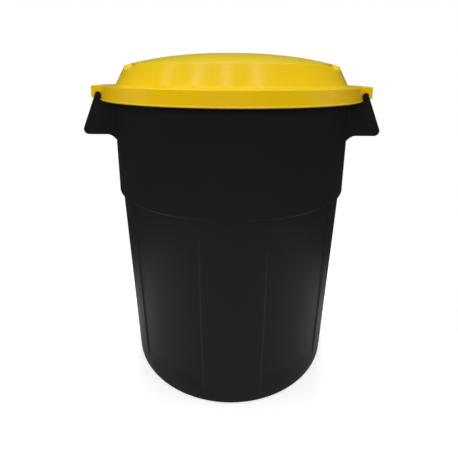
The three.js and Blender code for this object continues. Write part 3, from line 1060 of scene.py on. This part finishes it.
@dataclass(frozen=True)
class MouldedPlastic:
    """A finish of moulded polyethylene."""

    name: str
    colour: tuple[float, float, float]
    flow_colour: tuple[float, float, float]
    scuff_colour: tuple[float, float, float]
    # The next colour and the dust amount below are for faces that look up: dust, and painted top
    # light.
    dust_colour: tuple[float, float, float]
    roughness: float
    roughness_spread: float
    gloss: float
    grain_depth: float
    wave_depth: float
    scuffs: float
    dust: float
    ior: float = 1.5
    scuff_roughness: float = 0.15
    bump_distance: float = 0.1 * MM

    def material(self, grain: Tree, marks: Tree) -> Material:
        """Builds the material from the shared groups of moulded grain, and of handling marks with
        painted top light.
        """
        material = bpy.data.materials.new(self.name)
        t = emptied(material)
        skin = t.add("ShaderNodeGroup", node_tree=grain)
        skin.inputs["Grain Depth"].default_value = self.grain_depth
        skin.inputs["Wave Depth"].default_value = self.wave_depth
        wear_and_top_light = t.add("ShaderNodeGroup", node_tree=marks)
        wear_and_top_light.inputs["Scuffs"].default_value = self.scuffs
        wear_and_top_light.inputs["Dust"].default_value = self.dust
        flow, scuff = skin.outputs["Flow"], wear_and_top_light.outputs["Scuff"]
        colour = (*self.colour, 1.0)
        # The last layer is dust, and painted top light on faces that look up.
        for share, over in (
            (flow, self.flow_colour),
            (scuff, self.scuff_colour),
            (wear_and_top_light.outputs["Dust"], self.dust_colour),
        ):
            layers = {0: share, 6: colour, 7: (*over, 1.0)}
            colour = t.add("ShaderNodeMix", layers, data_type="RGBA").outputs[2]
        least = self.roughness - self.roughness_spread / 2
        uneven = t.math("MULTIPLY_ADD", flow, self.roughness_spread, least)
        relief = {"Height": skin.outputs["Height"], "Strength": 1.0, "Distance": self.bump_distance}
        shader = t.add(
            "ShaderNodeBsdfPrincipled",
            {
                "Base Color": colour,
                "Roughness": t.math("MULTIPLY_ADD", scuff, self.scuff_roughness, uneven),
                "Normal": t.add("ShaderNodeBump", relief).outputs[0],
                "IOR": self.ior,
                "Specular IOR Level": self.gloss,
            },
        )
        t.add("ShaderNodeOutputMaterial", {"Surface": shader.outputs[0]})
        return material


# ---- Studio -------------------------------------------------------------------------------------


@dataclass
class Studio:
    """Floor, backdrop, lights and camera."""

    centre: Vector
    lens_length: float = 27.6
    lens_shift: float = -0.19
    camera_place: tuple[float, float, float] = (0.0, -0.8423, 0.6612)
    pitch: float = 0.1851
    yaw: float = -0.0063
    roll: float = -0.006
    floor_half_width: float = 14.0
    floor_level: float = -0.3 * MM
    floor_grey: float = 0.86
    floor_lift: float = 0.45
    fade_from: float = 0.34
    fade_to: float = 0.6
    # The floor as other rays see it: painted light in a pool in front of the drum, painted shade
    # beyond.
    painted_pool_middle: float = -0.42
    painted_pool_grey: float = 0.62
    painted_shade_grey: float = 0.05
    painted_pool_from: float = 0.55
    painted_pool_to: float = 0.85
    room_light: float = 0.08
    room_mirrored: float = 0.03

    def camera(self) -> None:
        """Places the camera in front of the drum at the lid's height, tilted down."""
        lens = bpy.data.cameras.new("camera")
        lens.sensor_width = 36.0
        lens.lens = self.lens_length
        lens.shift_y = self.lens_shift
        body = bpy.data.objects.new("camera", lens)
        bpy.context.scene.collection.objects.link(body)
        pitch, yaw, roll = self.pitch, self.yaw, self.roll
        flat = math.cos(pitch)
        ahead = Vector((math.sin(yaw) * flat, math.cos(yaw) * flat, -math.sin(pitch)))
        level = ahead.cross(Vector((0, 0, 1))).normalized()
        down = ahead.cross(level)
        right = level * math.cos(roll) + down * math.sin(roll)
        up = level * math.sin(roll) - down * math.cos(roll)
        matrix = Matrix((right, up, -ahead)).transposed().to_4x4()
        matrix.translation = self.camera_place
        body.matrix_world = matrix
        bpy.context.scene.camera = body

    def softbox(
        self,
        name: str,
        azimuth: float,
        elevation: float,
        distance: float,
        size: tuple[float, float],
        power: float,
        mirrored: bool = False,
    ) -> None:
        """Adds a softbox that faces the drum.

        Args:
            name: Its name.
            azimuth: Degrees from the front, towards the right.
            elevation: Degrees above the level of the lid.
            distance: How far away it is.
            size: Its width and height.
            power: Its power in watts.
            mirrored: Whether it only shows in glossy surfaces. Otherwise it only lights them.
        """
        light = bpy.data.lights.new(name, "AREA")
        light.shape = "RECTANGLE"
        light.size, light.size_y = size
        light.energy = power
        lamp = bpy.data.objects.new(name, light)
        lamp.visible_glossy = mirrored
        lamp.visible_diffuse = not mirrored
        bpy.context.scene.collection.objects.link(lamp)
        a, e = math.radians(azimuth), math.radians(elevation)
        away = Vector((math.sin(a) * math.cos(e), -math.cos(a) * math.cos(e), math.sin(e)))
        lamp.location = self.centre + away * distance
        lamp.rotation_euler = away.to_track_quat("Z", "Y").to_euler()

    def lights(self) -> None:
        """Five softboxes that only light, and four strips that only show in reflections."""
        self.softbox("front", -8, 22, 3.0, (2.2, 1.2), 47)
        self.softbox("left", -82, 8, 2.6, (1.2, 1.2), 17)
        self.softbox("right", 80, 8, 2.6, (1.2, 1.2), 17)
        self.softbox("top", 0, 86, 2.6, (2.6, 2.6), 48)
        self.softbox("back", 180, 45, 2.8, (2.2, 1.4), 62)
        for number, (azimuth, power) in enumerate(((-71, 1.2), (-38, 1.6), (-6, 1.5), (28, 1.5))):
            self.softbox(f"strip_{number}", azimuth, 50, 2.4, (0.27, 1.0), power, mirrored=True)

    def floor(self) -> None:
        """A floor that fades to white for the camera, and paints light and shade for all other
        rays: a light pool in front of the drum, nearly black beyond it.
        """
        mesh = bpy.data.meshes.new("floor")
        r, z = self.floor_half_width, self.floor_level
        mesh.from_pydata([(-r, -r, z), (r, -r, z), (r, r, z), (-r, r, z)], [], [(0, 1, 2, 3)])
        floor = new_object(mesh)
        material = bpy.data.materials.new("pale floor")
        t = emptied(material)

        def length(vector: Socket) -> Socket:
            """How long a vector is."""
            node = t.add("ShaderNodeVectorMath", {0: vector}, operation="LENGTH")
            return node.outputs["Value"]

        def glow(strength: float) -> Socket:
            """A white glow."""
            white = {"Color": (1.0, 1.0, 1.0, 1.0), "Strength": strength}
            return t.add("ShaderNodeEmission", white).outputs[0]

        spot = t.add("ShaderNodeTexCoord").outputs["Object"]
        grey = (self.floor_grey, self.floor_grey, self.floor_grey, 1.0)
        lit = t.add("ShaderNodeBsdfDiffuse", {"Color": grey}).outputs[0]
        near = t.add("ShaderNodeAddShader", {0: lit, 1: glow(self.floor_lift)}).outputs[0]
        far = t.ramp(length(spot), self.fade_from, self.fade_to)
        seen = t.mix(far, near, glow(1.0))
        # For all rays but the camera's, the floor paints a pool of light in front of the drum and
        # painted shade beyond it.
        offset = {0: spot, 1: (0.0, -self.painted_pool_middle, 0.0)}
        ahead = t.add("ShaderNodeVectorMath", offset, operation="ADD").outputs["Vector"]
        levels = (self.painted_pool_grey, self.painted_shade_grey)
        painted_pool = t.ramp(length(ahead), self.painted_pool_from, self.painted_pool_to, levels)
        plain = t.add("ShaderNodeBsdfDiffuse", {"Color": painted_pool}).outputs[0]
        ray = t.add("ShaderNodeLightPath").outputs["Is Camera Ray"]
        t.add("ShaderNodeOutputMaterial", {"Surface": t.mix(ray, plain, seen)})
        mesh.materials.append(material)

    def surroundings(self) -> None:
        """A room that is white to the camera, dim as a light and dimmer still in reflections."""
        world = bpy.data.worlds.new("studio")
        t = emptied(world)
        seen, room, dim = (
            t.add("ShaderNodeBackground", {"Color": (1.0, 1.0, 1.0, 1.0), "Strength": x}).outputs[0]
            for x in (1.0, self.room_light, self.room_mirrored)
        )
        path = t.add("ShaderNodeLightPath").outputs
        unseen = t.mix(path["Is Glossy Ray"], room, dim)
        both = t.mix(path["Is Camera Ray"], unseen, seen)
        t.add("ShaderNodeOutputWorld", {"Surface": both})
        bpy.context.scene.world = world

    def build(self) -> None:
        """Sets the whole studio up."""
        bpy.context.scene.view_settings.view_transform = "Standard"
        self.camera()
        self.lights()
        self.floor()
        self.surroundings()


def main() -> None:
    """Builds the drum and its studio."""
    logging.basicConfig(level=logging.INFO, format="%(name)s %(message)s")
    sizes = DrumSizes.read()
    grain, marks = moulded_grain(), handling_marks_and_top_light()
    black = MouldedPlastic(
        name="black polyethylene",
        colour=(0.01, 0.01, 0.01),
        flow_colour=(0.0125, 0.0125, 0.0125),
        scuff_colour=(0.03, 0.03, 0.03),
        # On the black parts this is faint dust, and painted top light, on faces that look up.
        dust_colour=(0.05, 0.05, 0.047),
        roughness=0.42,
        roughness_spread=0.06,
        gloss=0.14,
        grain_depth=0.5,
        wave_depth=6.0,
        scuffs=0.25,
        dust=0.1,
    ).material(grain, marks)
    yellow = MouldedPlastic(
        name="yellow polyethylene",
        colour=(0.83, 0.5, 0.002),
        flow_colour=(0.87, 0.54, 0.004),
        scuff_colour=(0.8, 0.5, 0.05),
        # On the yellow lid this colour paints top light: a paler, greener yellow on faces that look
        # up, with some dust.
        dust_colour=(0.83, 0.62, 0.02),
        roughness=0.2,
        roughness_spread=0.04,
        gloss=0.5,
        grain_depth=0.15,
        wave_depth=1.2,
        scuffs=0.12,
        dust=0.9,
    ).material(grain, marks)
    Container(sizes).build(black)
    for side in Side:
        Handle(sizes, side).build(black)
    Lid(sizes).build(yellow)
    Studio(centre=Vector((0.0, 0.0, sizes.step_bottom))).build()


if __name__ == "__main__":
    main()
